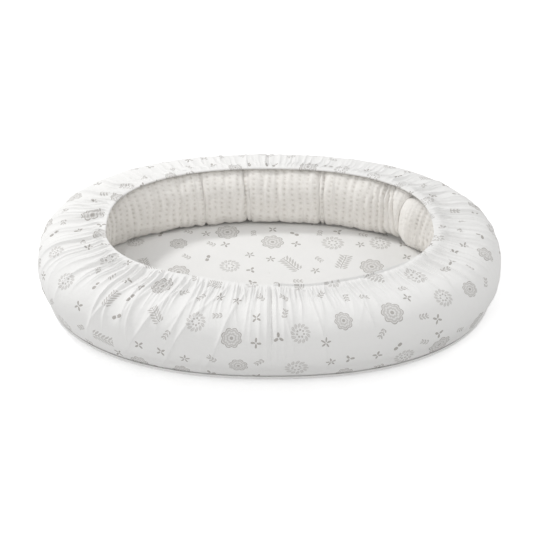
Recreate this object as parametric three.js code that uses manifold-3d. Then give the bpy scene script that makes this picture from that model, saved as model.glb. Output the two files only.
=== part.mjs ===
// An infant lounger: an oval padded mattress with a long fibre-filled bolster lying on its margin, and a
// gathered cover wall that is sewn to the mattress edge, goes up round the bolster and is drawn in over it by
// an elastic hem.
// Millimetres, +Z up. The origin is at the middle of the underside, X runs along the length, +Y is the far
// side. A place round the oval is a share of the way, counted from +X towards +Y. Across it, u is the distance
// outwards from the line on which the middle of the bolster lies.
import * as THREE from "three";
import { ConvexGeometry } from "three/addons/geometries/ConvexGeometry.js";
import { mergeVertices } from "three/addons/utils/BufferGeometryUtils.js";
import Module from "manifold-3d";

const wasm = await Module();
wasm.setup();

// Whole object
const LENGTH = 900;
const WIDTH = 615;
const OVAL_POWER = 2.25; // 2 is an ellipse, more is squarer
const GAP = 0.3; // between pieces that touch
const COVER_SLACK = 0.8; // between the bolster and the wall round it
const CUT_OVERRUN = 5; // how far a cutting solid runs past what it cuts

// Bolster
const BOLSTER_WIDTH = 142;
const BOLSTER_HEIGHT = 120;
const BOLSTER_PRESS = 3; // how far its round section is pressed flat where it lies
const SECTION_POWER = 2.2;
const CASING_SHEET = 2;
const PUCKER_DEPTH = 3;
const PUCKER_COUNT = 12;
const DOME_LENGTH = 60;
const DOME_TIP_SHARE = 0.992; // of the dome's length, where its last flat face is
const DOME_JOIN_SHARE = 0.1; // where the tip of the domed end is, as a share of the way round
const END_SHIFT = 10; // how far both ends lie towards the inside where they meet
const END_SHIFT_LENGTH = 130;
const CAP_SEAM_DISTANCE = 75; // from the tip of each end to the seam of its end piece

// Mattress
const CORE_MARGIN = 15; // thickness under the bolster
const CORE_CROWN = 11; // how much higher its middle is
const CORE_REACH = 48; // from the middle of the bolster out to the core's edge
const CORE_CHAMFER_HEIGHT = 5;
const CORE_CHAMFER_WIDTH = 4;
const CROWN_START = 35; // from the middle of the bolster inwards to where the crown starts to rise
const PANEL_SHEET = 1.3;
const BINDING_DIAMETER = 6;

// Cover wall
const WALL_SHEET = 1.6;
const FOLD_HEIGHT = 7;
const FOLDS_PER_HALF = 24;
const HEM_REACH_FRONT = 64; // from the middle of the bolster inwards, at the near side
const HEM_REACH_BACK = 31; // the same at the far side
const HEM_REACH_END = 62; // the same at the two ends
const HEM_HOLD = 15; // how much less the hem reaches inwards at the front seam, which holds it out
const HEM_HOLD_LENGTH = 160; // from the front seam to where the hem isn't held out any more
const HEM_LIFT = 4.5; // how much higher the hem is than the wall where it leaves the bolster
const ELASTIC_WIDTH = 12;
const ELASTIC_THICKNESS = 1.2;

// Zip in the underside, closed at its +X end
const ZIP_LENGTH = 520;
const TAPE_WIDTH = 15;
const TAPE_THICKNESS = 0.6;
const TAPE_END = 12; // how far the tapes go past the teeth
const TEETH_WIDTH = 2.5;
const TEETH_HEIGHT = 2;
const STOP_LENGTH = 3;
const STOP_HEIGHT = 3;
const SLIT_MARGIN = 2;
const RECESS_END = 30; // from the zip's end to the foot of the recess's slope
const RECESS_WIDTH = 68;
const RECESS_SLOPE = 10;
const FLOOR_CLEARANCE = 0.6; // under the lowest piece of the zip
const SLIDER_LENGTH = 12;
const SLIDER_WIDTH = 9;
const SLIDER_PLATE = 1;
const SLIDER_POST = 1.2;
const BRIDGE_WIDTH = 2;
const BRIDGE_THICKNESS = 1.2;
const BRIDGE_SPAN = 3.2;
const PULL_LENGTH = 24;
const PULL_WIDTH = 6.4;
const PULL_THICKNESS = 1;
const EYE_LENGTH = 5.4;
const EYE_WIDTH = 3;

// Shares of the way round and of the crown
const FRONT_SEAM_SHARE = 0.75;
const BACK_SEAM_SHARE = 0.25;
const SHORTEST_STEP_SHARE = 0.2;
const edgeCrownShare = 0.3;
const crownShares = [
  { scale: 0.86, height: 0.62 },
  { scale: 0.6, height: 0.92 },
  { scale: 0.28, height: 1 },
];

// Numbers of steps
const OVAL_SAMPLES = 1440;
const BOLSTER_SIDES = 12;
const DOME_STEPS = 4;
const REAR_RIM_STEP = 2; // the rear end closes round the dome from this step of it on
const BINDING_SIDES = 6;
const wallSteps = 2 * FOLDS_PER_HALF;
const ringSteps = 2 * FOLDS_PER_HALF;

// Heights above the floor
const coreBottom = PANEL_SHEET + GAP;
const coreMarginTop = coreBottom + CORE_MARGIN;
const bolsterBottom = coreMarginTop + GAP + PANEL_SHEET + GAP;
const bolsterTop = bolsterBottom + BOLSTER_HEIGHT;
const sectionHalfWidth = BOLSTER_WIDTH / 2;
const sectionHalfHeight = (BOLSTER_HEIGHT + BOLSTER_PRESS) / 2;
const sectionMiddle = bolsterTop - sectionHalfHeight;

// The wall, both panels and the binding meet in one seam outside the core's edge.
const seamReach = CORE_REACH + GAP + PANEL_SHEET;
const seamHeight = coreBottom + CORE_MARGIN / 2;

// The oval on which the middle of the bolster lies
const lineToOutside = sectionHalfWidth + COVER_SLACK + WALL_SHEET;
const lineHalfLength = LENGTH / 2 - lineToOutside;
const lineHalfWidth = WIDTH / 2 - lineToOutside;

const signedPower = (value, power) => Math.sign(value) * Math.abs(value) ** power;
const smooth = (t) => t * t * (3 - 2 * t);
const clampToShare = (t) => Math.min(1, Math.max(0, t));

// Samples of the oval with the length walked so far, from which a share of the way is found
function measureOval() {
  const samples = [];
  let walked = 0;
  for (let i = 0; i <= OVAL_SAMPLES; i++) {
    const angle = (2 * Math.PI * i) / OVAL_SAMPLES;
    const x = lineHalfLength * signedPower(Math.cos(angle), 2 / OVAL_POWER);
    const y = lineHalfWidth * signedPower(Math.sin(angle), 2 / OVAL_POWER);
    const last = samples[samples.length - 1];
    if (last) walked += Math.hypot(x - last.x, y - last.y);
    samples.push({ x, y, walked });
  }
  return samples;
}
const ovalSamples = measureOval();
const ovalLength = ovalSamples[OVAL_SAMPLES].walked;

// The point of the oval at a share of the way round, and the outward direction there
function ovalAt(share) {
  const walked = (share - Math.floor(share)) * ovalLength;
  let low = 0;
  let high = OVAL_SAMPLES;
  while (high - low > 1) {
    const middle = (low + high) >> 1;
    if (ovalSamples[middle].walked <= walked) low = middle;
    else high = middle;
  }
  const a = ovalSamples[low];
  const b = ovalSamples[high];
  const t = (walked - a.walked) / (b.walked - a.walked);
  const x = a.x + (b.x - a.x) * t;
  const y = a.y + (b.y - a.y) * t;
  const outX = signedPower(x / lineHalfLength, OVAL_POWER - 1) / lineHalfLength;
  const outY = signedPower(y / lineHalfWidth, OVAL_POWER - 1) / lineHalfWidth;
  const size = Math.hypot(outX, outY);
  return { x, y, outX: outX / size, outY: outY / size };
}

function placed(share, u, z, scale = 1) {
  const at = ovalAt(share);
  return new THREE.Vector3((at.x + at.outX * u) * scale, (at.y + at.outY * u) * scale, z);
}

const ringShares = Array.from({ length: ringSteps }, (_, i) => FRONT_SEAM_SHARE + i / ringSteps);

// Turns a closed body the right way out.
function faceOutwards(geometry) {
  const { array } = geometry.attributes.position;
  const corner = (i) => new THREE.Vector3().fromArray(array, 3 * i);
  const index = Array.from(geometry.index.array);
  let volume = 0;
  for (let i = 0; i < index.length; i += 3) {
    const [a, b, c] = index.slice(i, i + 3).map(corner);
    volume += a.dot(b.cross(c));
  }
  if (volume < 0) geometry.setIndex(index.reverse());
  return geometry;
}

// A closed body skinned over rings of points. Without end faces the last ring joins the first again. Otherwise
// the first and the last ring are closed with these triangles, which run the way that the ring runs. Each
// four-cornered patch is split along its shorter diagonal, so that two skins a small distance apart are split
// alike.
function skinned(rings, endFaces) {
  const size = rings[0].length;
  const points = rings.flat();
  const index = [];
  const bands = endFaces ? rings.length - 1 : rings.length;
  for (let i = 0; i < bands; i++) {
    const here = i * size;
    const next = ((i + 1) % rings.length) * size;
    for (let j = 0; j < size; j++) {
      const k = (j + 1) % size;
      const [a, b, c, d] = [here + j, next + j, next + k, here + k];
      const ascending = points[a].distanceTo(points[c]);
      const descending = points[b].distanceTo(points[d]);
      if (ascending < descending) index.push(a, b, c, a, c, d);
      else index.push(a, b, d, d, b, c);
    }
  }
  const last = (rings.length - 1) * size;
  for (const [a, b, c] of endFaces ?? []) {
    index.push(a, b, c, last + c, last + b, last + a);
  }
  const geometry = new THREE.BufferGeometry();
  const positions = points.flatMap((point) => point.toArray());
  geometry.setAttribute("position", new THREE.Float32BufferAttribute(positions, 3));
  geometry.setIndex(index);
  return faceOutwards(geometry);
}

function fanFaces(count) {
  return Array.from({ length: count - 2 }, (_, i) => [0, i + 1, i + 2]);
}

// A closed body of ovals, from the middle of one face over the edge to the middle of the other. A row is
// [u, z, scale of the oval].
function stackedOvals(rows) {
  const rings = rows.map(([u, z, scale]) => ringShares.map((share) => placed(share, u, z, scale)));
  return skinned(rings, fanFaces(ringSteps));
}

// A ring-shaped body with the same section all the way round
function hoop(outlineAt, shares) {
  return skinned(shares.map((share) => outlineAt(share).map(([u, z]) => placed(share, u, z))));
}

// Manifold solids, used only to join and to cut
function solid(geometry) {
  const bare = geometry.clone();
  bare.deleteAttribute("normal");
  bare.deleteAttribute("uv");
  const merged = mergeVertices(bare);
  return new wasm.Manifold(
    new wasm.Mesh({
      numProp: 3,
      vertProperties: new Float32Array(merged.attributes.position.array),
      triVerts: new Uint32Array(merged.index.array),
    }),
  );
}

function geometryOf(body) {
  const mesh = body.getMesh();
  const geometry = new THREE.BufferGeometry();
  geometry.setAttribute("position", new THREE.Float32BufferAttribute(mesh.vertProperties, 3));
  geometry.setIndex(Array.from(mesh.triVerts));
  return geometry;
}

// A box between two corners
function boxBetween([x0, y0, z0], [x1, y1, z1]) {
  const box = new THREE.BoxGeometry(x1 - x0, y1 - y0, z1 - z0);
  return box.translate((x0 + x1) / 2, (y0 + y1) / 2, (z0 + z1) / 2);
}

function material(color, roughness, metalness = 0) {
  return new THREE.MeshStandardMaterial({ color, roughness, metalness });
}

const lounger = new THREE.Group();

function add(name, geometry, finish) {
  const mesh = new THREE.Mesh(geometry, finish);
  mesh.name = name;
  lounger.add(mesh);
  return mesh;
}

// Mattress. The crown's rows go from its foot at the bolster to the middle of the mattress.
const chamferReach = CORE_REACH - CORE_CHAMFER_WIDTH;
const chamferTop = coreMarginTop - CORE_CHAMFER_HEIGHT;

function crownRows(marginHeight) {
  return [
    [chamferReach, marginHeight],
    [-CROWN_START, marginHeight],
    [-sectionHalfWidth, marginHeight + CORE_CROWN * edgeCrownShare],
    ...crownShares.map((row) => [-sectionHalfWidth, marginHeight + CORE_CROWN * row.height, row.scale]),
  ];
}

function floorPanel() {
  const under = crownRows(coreMarginTop + GAP);
  const over = crownRows(coreMarginTop + GAP + PANEL_SHEET);
  const skirt = [
    [CORE_REACH + GAP, chamferTop],
    [CORE_REACH + GAP, seamHeight + GAP / 2],
    [seamReach, seamHeight + GAP / 2],
    [seamReach, chamferTop],
  ];
  return stackedOvals([...under.reverse(), ...skirt, ...over]);
}

// Zip heights. The panel is lifted to the tapes, so that nothing of the zip stands below the underside.
const hollowHeight = TEETH_HEIGHT + 2 * GAP;
const archHeight = PULL_THICKNESS + 2 * GAP;
const sliderBottom = FLOOR_CLEARANCE + BRIDGE_THICKNESS + archHeight;
const tapeMiddle = sliderBottom + SLIDER_PLATE + hollowHeight / 2;
const sliderTop = tapeMiddle + hollowHeight / 2 + SLIDER_PLATE;
const trayTop = tapeMiddle - TAPE_THICKNESS / 2 - GAP;
const recessDepth = trayTop - PANEL_SHEET;
const teethInner = SLIDER_POST / 2 + GAP;
const teethOuter = teethInner + TEETH_WIDTH;
const tapeInner = teethOuter + GAP;
const tapeOuter = tapeInner + TAPE_WIDTH;
const slitHalfWidth = SLIDER_WIDTH / 2 + SLIT_MARGIN;

// The hollow round the zip, open below, with sloping sides. Grown on every side it is the outside of the
// panel there, and the hollow in the core above that.
function recess(grow, bottom) {
  const top = recessDepth + grow;
  const corners = [bottom, top].flatMap((z) => {
    const spread = grow - (RECESS_SLOPE * z) / recessDepth;
    const x = ZIP_LENGTH / 2 + RECESS_END + spread;
    const y = RECESS_WIDTH / 2 + spread;
    const signs = [[1, 1], [-1, 1], [-1, -1], [1, -1]];
    return signs.map(([end, side]) => new THREE.Vector3(end * x, side * y, z));
  });
  return solid(new ConvexGeometry(corners));
}

// A box along the zip, as long as it and more by an end at both ends
function alongZip(end, halfWidth, z0, z1) {
  const halfLength = ZIP_LENGTH / 2 + end;
  return solid(boxBetween([-halfLength, -halfWidth, z0], [halfLength, halfWidth, z1]));
}

function mattressCore() {
  const rows = [
    [chamferReach, coreBottom],
    [CORE_REACH, coreBottom + CORE_CHAMFER_HEIGHT],
    [CORE_REACH, chamferTop],
    ...crownRows(coreMarginTop),
  ];
  const overPanel = recess(PANEL_SHEET + GAP, -CUT_OVERRUN);
  const overZip = alongZip(TAPE_END + GAP, tapeOuter + GAP, coreBottom, sliderTop + GAP);
  return geometryOf(solid(stackedOvals(rows)).subtract(overPanel).subtract(overZip));
}

function basePanel() {
  const rows = [
    [chamferReach, 0],
    [seamReach, CORE_CHAMFER_HEIGHT],
    [seamReach, seamHeight - GAP / 2],
    [CORE_REACH + GAP, seamHeight - GAP / 2],
    [CORE_REACH + GAP, coreBottom + CORE_CHAMFER_HEIGHT],
    [chamferReach, PANEL_SHEET],
  ];
  const slit = alongZip(STOP_LENGTH + SLIT_MARGIN, slitHalfWidth, -CUT_OVERRUN, trayTop + CUT_OVERRUN);
  const panel = solid(stackedOvals(rows)).add(recess(PANEL_SHEET, 0));
  return geometryOf(panel.subtract(recess(0, -CUT_OVERRUN)).subtract(slit));
}

function edgeBinding() {
  const radius = BINDING_DIAMETER / 2;
  const middle = seamReach + GAP + radius;
  const outline = Array.from({ length: BINDING_SIDES }, (_, j) => {
    const angle = (2 * Math.PI * (j + 1 / 2)) / BINDING_SIDES;
    return [middle + radius * Math.cos(angle), seamHeight + radius * Math.sin(angle)];
  });
  return hoop(() => outline, ringShares);
}

// Bolster. A corner of its section, on a skin at a distance outside the casing. Size 1 is the full section.
function sectionCorner(corner, outside, size = 1) {
  const angle = (2 * Math.PI * (corner + 1 / 2)) / BOLSTER_SIDES;
  const stretch = size * (1 + outside / sectionHalfWidth);
  const u = sectionHalfWidth * signedPower(Math.cos(angle), 2 / SECTION_POWER);
  const z = sectionHalfHeight * signedPower(Math.sin(angle), 2 / SECTION_POWER);
  return [u * stretch, Math.max(sectionMiddle + z * stretch, bolsterBottom - outside)];
}

const tipShare = 1 + DOME_JOIN_SHARE;
const domeShare = tipShare - DOME_LENGTH / ovalLength;
const domeTurn = Math.asin(DOME_TIP_SHARE);
const domeTurns = Array.from({ length: DOME_STEPS }, (_, i) => (domeTurn * (i + 1)) / DOME_STEPS);

function bolsterRing(share, outside, size = 1) {
  const fromTip = Math.abs(share - Math.round(share) - DOME_JOIN_SHARE) * ovalLength;
  const shift = END_SHIFT * smooth(clampToShare(1 - fromTip / END_SHIFT_LENGTH));
  const drawnIn = (PUCKER_DEPTH / 2) * (1 - Math.cos(2 * Math.PI * PUCKER_COUNT * share));
  return Array.from({ length: BOLSTER_SIDES }, (_, corner) => {
    const [u, z] = sectionCorner(corner, outside - drawnIn, size);
    return placed(share, u - shift, z);
  });
}

// The rings of the dome from its foot to its tip, on a skin at a distance outside the casing
function domeRings(outside) {
  return domeTurns.map((turn) => {
    const share = domeShare + ((DOME_LENGTH + outside) * Math.sin(turn)) / ovalLength;
    return bolsterRing(share, outside, Math.cos(turn));
  });
}

const rearRimReach = (DOME_LENGTH + GAP) * Math.sin(domeTurns[REAR_RIM_STEP - 1]);
const rearRimShare = domeShare - 1 + rearRimReach / ovalLength;
const rearSeamShare = rearRimShare + CAP_SEAM_DISTANCE / ovalLength;
const frontSeamShare = tipShare - CAP_SEAM_DISTANCE / ovalLength;
const halfGapShare = GAP / 2 / ovalLength;
const sheetShare = CASING_SHEET / ovalLength;

// The first of two places and the places of the shared steps between them
function sharesBetween(start, end) {
  const shares = [start];
  const first = Math.ceil((start - FRONT_SEAM_SHARE) * ringSteps + SHORTEST_STEP_SHARE);
  const last = Math.floor((end - FRONT_SEAM_SHARE) * ringSteps - SHORTEST_STEP_SHARE);
  for (let i = first; i <= last; i++) shares.push(FRONT_SEAM_SHARE + i / ringSteps);
  return shares;
}
const tubeShares = [
  ...sharesBetween(rearRimShare, rearSeamShare),
  ...sharesBetween(rearSeamShare, frontSeamShare),
  ...sharesBetween(frontSeamShare, domeShare),
  domeShare,
];

// The rings of the straight tube between two of those places, with its ends moved inwards
function tubeRings(start, end, outside, startInset = 0, endInset = 0) {
  const shares = tubeShares.filter((share) => share >= start && share <= end);
  shares[0] += startInset;
  shares[shares.length - 1] -= endInset;
  return shares.map((share) => bolsterRing(share, outside));
}

const capFaces = fanFaces(BOLSTER_SIDES);

// The hollow face of the rear end, which lies round the dome at a distance, from its middle to its rim
const hollowRings = (distance) => domeRings(distance).slice(REAR_RIM_STEP - 1).reverse();

function bolsterCasing() {
  const skin = (outside) => tubeRings(rearSeamShare, frontSeamShare, outside, halfGapShare, halfGapShare);
  return skinned([...skin(0), ...skin(-CASING_SHEET).reverse()]);
}

function bolsterFrontEnd() {
  const tube = (outside) => tubeRings(frontSeamShare, domeShare, outside, halfGapShare);
  const skin = (outside) => [...tube(outside), ...domeRings(outside)];
  return skinned([...skin(0).reverse(), ...skin(-CASING_SHEET)], capFaces);
}

function bolsterRearEnd() {
  const tube = (outside, inset) => tubeRings(rearRimShare, rearSeamShare, outside, inset, halfGapShare);
  const outer = [...hollowRings(GAP), ...tube(0, 0)];
  const inner = [...hollowRings(GAP + CASING_SHEET), ...tube(-CASING_SHEET, sheetShare)];
  return skinned([...outer, ...inner.reverse()], capFaces);
}

function bolsterFilling() {
  const inside = CASING_SHEET + GAP;
  const tube = tubeRings(rearRimShare, domeShare, -inside, inside / ovalLength);
  return skinned([...hollowRings(GAP + inside), ...tube, ...domeRings(-inside)], capFaces);
}

// Cover wall. It follows the corners of the casing from its lower outside to its top, and then goes on to the
// hem, where it is folded back under the elastic.
const firstWallCorner = -Math.round(BOLSTER_SIDES / 8);
const lastWallCorner = Math.floor(BOLSTER_SIDES / 4) - 1;
const wallFoot = seamHeight + BINDING_DIAMETER / 2 + GAP;
const wallFootReach = seamReach + GAP;
const hemUnderside = sectionCorner(lastWallCorner, COVER_SLACK)[1] + HEM_LIFT;
const elasticBottom = hemUnderside - GAP - ELASTIC_THICKNESS;
const hemFoldTop = elasticBottom - GAP;

function hemEdge(share) {
  const { outX, outY } = ovalAt(share);
  const sideReach = outY > 0 ? HEM_REACH_BACK : HEM_REACH_FRONT;
  const fromSeam = share - FRONT_SEAM_SHARE;
  const seamDistance = Math.abs(fromSeam - Math.round(fromSeam)) * ovalLength;
  const held = HEM_HOLD * smooth(clampToShare(1 - seamDistance / HEM_HOLD_LENGTH));
  return held - (HEM_REACH_END * outX * outX + sideReach * outY * outY);
}

// One face of the wall, from its foot to its top. The folds grow with the height above the foot.
function wallFace(outside, foldHeight) {
  const corners = [];
  const count = lastWallCorner - firstWallCorner;
  for (let i = 0; i <= count; i++) {
    const grown = outside + foldHeight * (i / count) ** 2;
    corners.push(sectionCorner(firstWallCorner + i, grown));
  }
  return corners;
}

function wallOutline(share, foldHeight) {
  const edge = hemEdge(share);
  const foldStart = edge + WALL_SHEET;
  const foldEnd = foldStart + GAP + ELASTIC_WIDTH + GAP;
  return [
    [wallFootReach, wallFoot],
    [wallFootReach + WALL_SHEET, wallFoot],
    ...wallFace(COVER_SLACK + WALL_SHEET, foldHeight),
    [foldEnd, hemUnderside + WALL_SHEET],
    [edge, hemUnderside + WALL_SHEET],
    [edge, hemFoldTop - WALL_SHEET],
    [foldEnd, hemFoldTop - WALL_SHEET],
    [foldEnd, hemFoldTop],
    [foldStart, hemFoldTop],
    [foldStart, hemUnderside],
    [foldEnd, hemUnderside],
    ...wallFace(COVER_SLACK, foldHeight).reverse(),
  ];
}

function wallHalf(start, end) {
  const outlines = [];
  const rings = [];
  for (let i = 0; i <= wallSteps; i++) {
    const share = start + ((end - start) * i) / wallSteps;
    const inHalf = Math.min(end - halfGapShare, Math.max(start + halfGapShare, share));
    const outline = wallOutline(inHalf, (i % 2) * FOLD_HEIGHT);
    outlines.push(outline);
    rings.push(outline.map(([u, z]) => placed(inHalf, u, z)));
  }
  const flat = outlines[0].map(([u, z]) => new THREE.Vector2(u, z));
  return skinned(rings, THREE.ShapeUtils.triangulateShape(flat, []));
}

function hemElastic() {
  const outlineAt = (share) => {
    const inner = hemEdge(share) + WALL_SHEET + GAP;
    const outer = inner + ELASTIC_WIDTH;
    const top = elasticBottom + ELASTIC_THICKNESS;
    return [[inner, elasticBottom], [outer, elasticBottom], [outer, top], [inner, top]];
  };
  const count = 2 * wallSteps;
  const shares = Array.from({ length: count }, (_, i) => FRONT_SEAM_SHARE + i / count);
  return hoop(outlineAt, shares);
}

// Zip pieces
function zipTape(side) {
  const x = ZIP_LENGTH / 2 + TAPE_END;
  const [low, high] = [side * tapeInner, side * tapeOuter].sort((a, b) => a - b);
  const half = TAPE_THICKNESS / 2;
  return boxBetween([-x, low, tapeMiddle - half], [x, high, tapeMiddle + half]);
}

function zipTeeth(side) {
  const x = ZIP_LENGTH / 2;
  const [low, high] = [side * teethInner, side * teethOuter].sort((a, b) => a - b);
  const half = TEETH_HEIGHT / 2;
  return boxBetween([-x, low, tapeMiddle - half], [x, high, tapeMiddle + half]);
}

function zipStop(end, low, high) {
  const near = ZIP_LENGTH / 2 + GAP;
  const [x0, x1] = [end * near, end * (near + STOP_LENGTH)].sort((a, b) => a - b);
  const half = STOP_HEIGHT / 2;
  return boxBetween([x0, low, tapeMiddle - half], [x1, high, tapeMiddle + half]);
}

// The slider's section is two plates with lips, joined by a post between the rows of teeth. The tapes pass
// between the lips. Under it stands the bridge that holds the pull.
function zipSlider() {
  const wide = SLIDER_WIDTH / 2;
  const hollow = teethOuter + GAP;
  const lip = TAPE_THICKNESS / 2 + GAP;
  const roof = hollowHeight / 2;
  const outer = roof + SLIDER_PLATE;
  const post = SLIDER_POST / 2;
  const quarter = [[wide, outer], [wide, lip], [hollow, lip], [hollow, roof], [post, roof]];
  const back = [...quarter].reverse();
  const points = [
    ...quarter,
    ...back.map(([y, z]) => [y, -z]),
    ...quarter.map(([y, z]) => [-y, -z]),
    ...back.map(([y, z]) => [-y, z]),
  ];
  const section = new THREE.Shape(points.map(([y, z]) => new THREE.Vector2(y, z)));
  const plates = new THREE.ExtrudeGeometry(section, { depth: SLIDER_LENGTH, bevelEnabled: false });
  plates.translate(0, 0, -SLIDER_LENGTH / 2);
  plates.rotateX(Math.PI / 2);
  plates.rotateZ(Math.PI / 2);
  const bridgeHalf = BRIDGE_SPAN / 2 + BRIDGE_THICKNESS;
  const bottom = -outer - archHeight - BRIDGE_THICKNESS;
  const side = BRIDGE_WIDTH / 2;
  const bridge = boxBetween([-bridgeHalf, -side, bottom], [bridgeHalf, side, -roof - SLIDER_PLATE / 2]);
  const arch = boxBetween(
    [-BRIDGE_SPAN / 2, -side - CUT_OVERRUN, -outer - archHeight],
    [BRIDGE_SPAN / 2, side + CUT_OVERRUN, -outer],
  );
  return geometryOf(solid(plates).add(solid(bridge).subtract(solid(arch))));
}

// The pull's own origin is the middle of its cross bar, which lies in the arch of the bridge.
function zipPull() {
  const bar = PULL_THICKNESS / 2;
  const side = PULL_WIDTH / 2;
  const roundEnd = PULL_LENGTH - side;
  const outline = new THREE.Shape();
  outline.moveTo(-bar, -side);
  outline.lineTo(roundEnd, -side);
  outline.absarc(roundEnd, 0, side, -Math.PI / 2, Math.PI / 2);
  outline.lineTo(-bar, side);
  outline.closePath();
  const eye = new THREE.Path();
  eye.moveTo(bar, -EYE_WIDTH / 2);
  eye.lineTo(bar, EYE_WIDTH / 2);
  eye.lineTo(bar + EYE_LENGTH, EYE_WIDTH / 2);
  eye.lineTo(bar + EYE_LENGTH, -EYE_WIDTH / 2);
  eye.closePath();
  outline.holes.push(eye);
  const extrusion = { depth: PULL_THICKNESS, bevelEnabled: false, curveSegments: 8 };
  return new THREE.ExtrudeGeometry(outline, extrusion).translate(0, 0, -bar).rotateZ(Math.PI);
}

const printedCotton = material(0xe9e8e4, 0.92);
const plainCotton = material(0xe6e4de, 0.92);
const seersucker = material(0xdcd8cf, 0.95);
const fibre = material(0xf2f2f0, 1);
const wadding = material(0xf0e9cf, 0.9);
const elasticWeb = material(0xf4f4f2, 0.85);
const tapeWeb = material(0xe4e2dc, 0.9);
const zipPlastic = material(0xefefed, 0.45);
const zipMetal = material(0xd9d9d6, 0.35, 0.9);

add("cover_wall_right", wallHalf(FRONT_SEAM_SHARE, BACK_SEAM_SHARE + 1), printedCotton);
add("cover_wall_left", wallHalf(BACK_SEAM_SHARE, FRONT_SEAM_SHARE), printedCotton);
add("hem_elastic", hemElastic(), elasticWeb);
add("floor_panel", floorPanel(), printedCotton);
add("edge_binding", edgeBinding(), printedCotton);
add("mattress_core", mattressCore(), wadding);
add("base_panel", basePanel(), plainCotton);
add("bolster_casing", bolsterCasing(), seersucker);
add("bolster_end_front", bolsterFrontEnd(), seersucker);
add("bolster_end_rear", bolsterRearEnd(), seersucker);
add("bolster_filling", bolsterFilling(), fibre);

for (const [place, side] of [["front", -1], ["rear", 1]]) {
  add(`zip_tape_${place}`, zipTape(side), tapeWeb);
  add(`zip_teeth_${place}`, zipTeeth(side), zipPlastic);
  const [low, high] = [side * teethInner, side * teethOuter].sort((a, b) => a - b);
  add(`zip_top_stop_${place}`, zipStop(1, low, high), zipMetal);
}
add("zip_bottom_stop", zipStop(-1, -teethOuter, teethOuter), zipMetal);

const slider = new THREE.Group();
slider.position.set(ZIP_LENGTH / 2 - SLIDER_LENGTH / 2, 0, tapeMiddle);
const sliderBody = add("zip_slider", zipSlider(), zipMetal);
const pull = add("zip_pull", zipPull(), zipMetal);
pull.position.z = -(tapeMiddle - sliderBottom) - archHeight / 2;
slider.add(sliderBody, pull);
lounger.add(slider);

export default lounger;
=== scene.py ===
import math
from functools import partialmethod

import bmesh
import bpy
import numpy as np
from mathutils import Matrix, Vector


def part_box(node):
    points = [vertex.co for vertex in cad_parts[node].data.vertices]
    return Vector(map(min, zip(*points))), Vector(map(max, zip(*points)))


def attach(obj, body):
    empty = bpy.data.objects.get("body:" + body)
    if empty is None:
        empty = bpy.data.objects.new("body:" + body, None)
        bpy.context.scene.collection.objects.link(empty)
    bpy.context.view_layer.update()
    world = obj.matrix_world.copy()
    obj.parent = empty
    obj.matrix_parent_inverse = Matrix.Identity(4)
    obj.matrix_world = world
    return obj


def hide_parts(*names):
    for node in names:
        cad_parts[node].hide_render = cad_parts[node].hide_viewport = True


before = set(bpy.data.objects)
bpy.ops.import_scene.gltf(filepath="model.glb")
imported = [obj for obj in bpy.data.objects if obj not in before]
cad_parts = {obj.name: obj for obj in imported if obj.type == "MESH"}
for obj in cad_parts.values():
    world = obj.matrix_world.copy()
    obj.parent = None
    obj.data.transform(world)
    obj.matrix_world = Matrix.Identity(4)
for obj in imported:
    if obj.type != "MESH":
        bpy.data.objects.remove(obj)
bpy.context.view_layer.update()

# Sizes in metres, as in the solids
OVAL_POWER = 2.25
SECTION_POWER = 2.2
SEAM_REACH = 0.0496
SEAM_HEIGHT = 0.0091
BOLSTER_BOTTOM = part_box("bolster_casing")[0].z
SECTION_HALF_WIDTH = 0.071
SECTION_HALF_HEIGHT = 0.0615
SECTION_MIDDLE = 0.0773
HALF_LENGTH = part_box("base_panel")[1].x - SEAM_REACH
HALF_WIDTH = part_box("base_panel")[1].y - SEAM_REACH
FRONT_SEAM = 0.75
BACK_SEAM = 0.25


def signed_power(value, power):
    return np.sign(value) * np.abs(value) ** power


def smooth(t):
    t = np.clip(t, 0, 1)
    return t * t * (3 - 2 * t)


def noise(x, y, seed):
    """Smooth noise from -1 to 1, one lattice cell to each unit of x and y."""
    size = 97
    table = np.random.default_rng(seed).uniform(-1, 1, (size, size))
    x, y = np.broadcast_arrays(np.asarray(x, float), np.asarray(y, float))
    i, j = np.floor(x).astype(int), np.floor(y).astype(int)
    s, t = smooth(x - i), smooth(y - j)
    near_i, next_i = i % size, (i + 1) % size
    near_j, next_j = j % size, (j + 1) % size
    low = table[near_i, near_j] * (1 - s) + table[next_i, near_j] * s
    high = table[near_i, next_j] * (1 - s) + table[next_i, next_j] * s
    return low * (1 - t) + high * t


# The oval on which the middle of the bolster lies. A share is the part of the way round, from +X towards +Y.
def oval_samples(count=7200):
    angle = np.linspace(0, 2 * math.pi, count + 1)
    x = HALF_LENGTH * signed_power(np.cos(angle), 2 / OVAL_POWER)
    y = HALF_WIDTH * signed_power(np.sin(angle), 2 / OVAL_POWER)
    walked = np.concatenate([[0], np.cumsum(np.hypot(np.diff(x), np.diff(y)))])
    return x, y, walked


OVAL_X, OVAL_Y, OVAL_WALKED = oval_samples()
OVAL_LENGTH = OVAL_WALKED[-1]


def oval_at(share):
    """Points of the oval and the outward directions there."""
    walked = (share - np.floor(share)) * OVAL_LENGTH
    x = np.interp(walked, OVAL_WALKED, OVAL_X)
    y = np.interp(walked, OVAL_WALKED, OVAL_Y)
    out_x = signed_power(x / HALF_LENGTH, OVAL_POWER - 1) / HALF_LENGTH
    out_y = signed_power(y / HALF_WIDTH, OVAL_POWER - 1) / HALF_WIDTH
    size = np.hypot(out_x, out_y)
    return x, y, out_x / size, out_y / size


def placed(share, u, z, scale=1.0):
    """Points at a distance u outwards from the oval, at height z."""
    share, u, z = np.broadcast_arrays(share, u, z)
    x, y, out_x, out_y = oval_at(share)
    return np.stack([(x + out_x * u) * scale, (y + out_y * u) * scale, z], axis=-1)


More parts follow.
